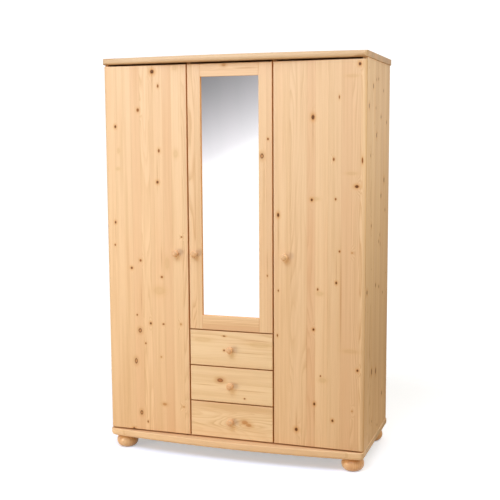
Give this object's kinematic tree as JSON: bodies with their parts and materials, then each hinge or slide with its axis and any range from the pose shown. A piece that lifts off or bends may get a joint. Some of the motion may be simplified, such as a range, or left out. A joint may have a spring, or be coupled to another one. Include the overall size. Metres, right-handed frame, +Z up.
{
  "type": "wardrobe with doors",
  "caption": "Free-standing pine wardrobe with hinged doors, a mirror door over drawers, bun feet and a bowed top and base.",
  "frame": {"origin": "on the floor, below the middle of the bounding box in X and Y", "axes": "+X to the right as one faces the doors, -Y to the front, out of the doors, +Z up"},
  "size_m": [1.342, 0.6479, 2],
  "materials": {
    "pine_top": "satin lacquered knotty pine",
    "pine_door": "satin lacquered knotty pine, upright staves",
    "pine_drawer": "satin lacquered knotty pine, level grain",
    "pine_side": "satin lacquered knotty pine",
    "pine_inside": "planed pine, thin lacquer",
    "turned_pine": "satin lacquered turned pine",
    "beech": "planed beech",
    "plywood": "thin plywood",
    "hardboard": "hardboard",
    "mirror": "silvered float glass",
    "bright_steel": "nickel plated",
    "screw_steel": "zinc plated",
    "chrome_tube": "polished",
    "white_plastic": "matt"
  },
  "bodies": {
    "carcass": {"top_panel": "pine_top", "base_panel": "pine_top", "side_panel_left": "pine_side", "side_panel_right": "pine_side", "partition_left": "pine_inside", "partition_right": "pine_inside", "back_panels": "plywood", "back_screws": "screw_steel", "drawer_divider": "pine_inside", "hat_shelf": "pine_inside", "shelves_center": "pine_inside", "shelves_right": "pine_inside", "shelf_pins": "bright_steel", "clothes_rail": "chrome_tube", "rail_sockets": "bright_steel", "carcass_dowels": "beech", "bun_feet": "turned_pine", "foot_bolts": "screw_steel", "drawer_runners": "beech", "runner_screws": "screw_steel", "hinge_plates": "bright_steel", "hinge_arms": "bright_steel", "hinge_screws": "screw_steel", "magnet_catches": "white_plastic"},
    "left_door": {"door_panel_left": "pine_door", "door_battens_left": "pine_inside", "door_knob_left": "turned_pine", "knob_screw_left": "screw_steel", "hinge_cups_left": "bright_steel", "strike_plates_left": "bright_steel"},
    "right_door": {"door_panel_right": "pine_door", "door_battens_right": "pine_inside", "door_knob_right": "turned_pine", "knob_screw_right": "screw_steel", "hinge_cups_right": "bright_steel", "strike_plates_right": "bright_steel"},
    "mirror_door": {"mirror_stiles": "pine_door", "mirror_rails": "pine_drawer", "mirror_glass": "mirror", "mirror_backing": "hardboard", "mirror_beads": "pine_inside", "mirror_knob": "turned_pine", "mirror_knob_screw": "screw_steel", "hinge_cups_mirror": "bright_steel", "strike_plates_mirror": "bright_steel"},
    "top_drawer": {"drawer_front_1": "pine_drawer", "drawer_box_1": "pine_inside", "drawer_bottom_1": "plywood", "drawer_knob_1": "turned_pine", "drawer_knob_screw_1": "screw_steel"},
    "middle_drawer": {"drawer_front_2": "pine_drawer", "drawer_box_2": "pine_inside", "drawer_bottom_2": "plywood", "drawer_knob_2": "turned_pine", "drawer_knob_screw_2": "screw_steel"},
    "bottom_drawer": {"drawer_front_3": "pine_drawer", "drawer_box_3": "pine_inside", "drawer_bottom_3": "plywood", "drawer_knob_3": "turned_pine", "drawer_knob_screw_3": "screw_steel"}
  },
  "joints": [
    {"name": "left_door_hinge", "type": "hinge", "parent": "carcass", "child": "left_door", "pos_m": [-0.6552, -0.2635, 1.03775], "axis": [0, 0, -1], "range_deg": [0, 100]},
    {"name": "right_door_hinge", "type": "hinge", "parent": "carcass", "child": "right_door", "pos_m": [0.6552, -0.2635, 1.03775], "axis": [0, 0, 1], "range_deg": [0, 100]},
    {"name": "mirror_door_hinge", "type": "hinge", "parent": "carcass", "child": "mirror_door", "pos_m": [0.2062, -0.2635, 1.3115], "axis": [0, 0, 1], "range_deg": [0, 95]},
    {"name": "top_drawer_slide", "type": "slide", "parent": "carcass", "child": "top_drawer", "axis": [0, -1, 0], "range_m": [0, 0.35]},
    {"name": "middle_drawer_slide", "type": "slide", "parent": "carcass", "child": "middle_drawer", "axis": [0, -1, 0], "range_m": [0, 0.35]},
    {"name": "bottom_drawer_slide", "type": "slide", "parent": "carcass", "child": "bottom_drawer", "axis": [0, -1, 0], "range_m": [0, 0.35]}
  ]
}
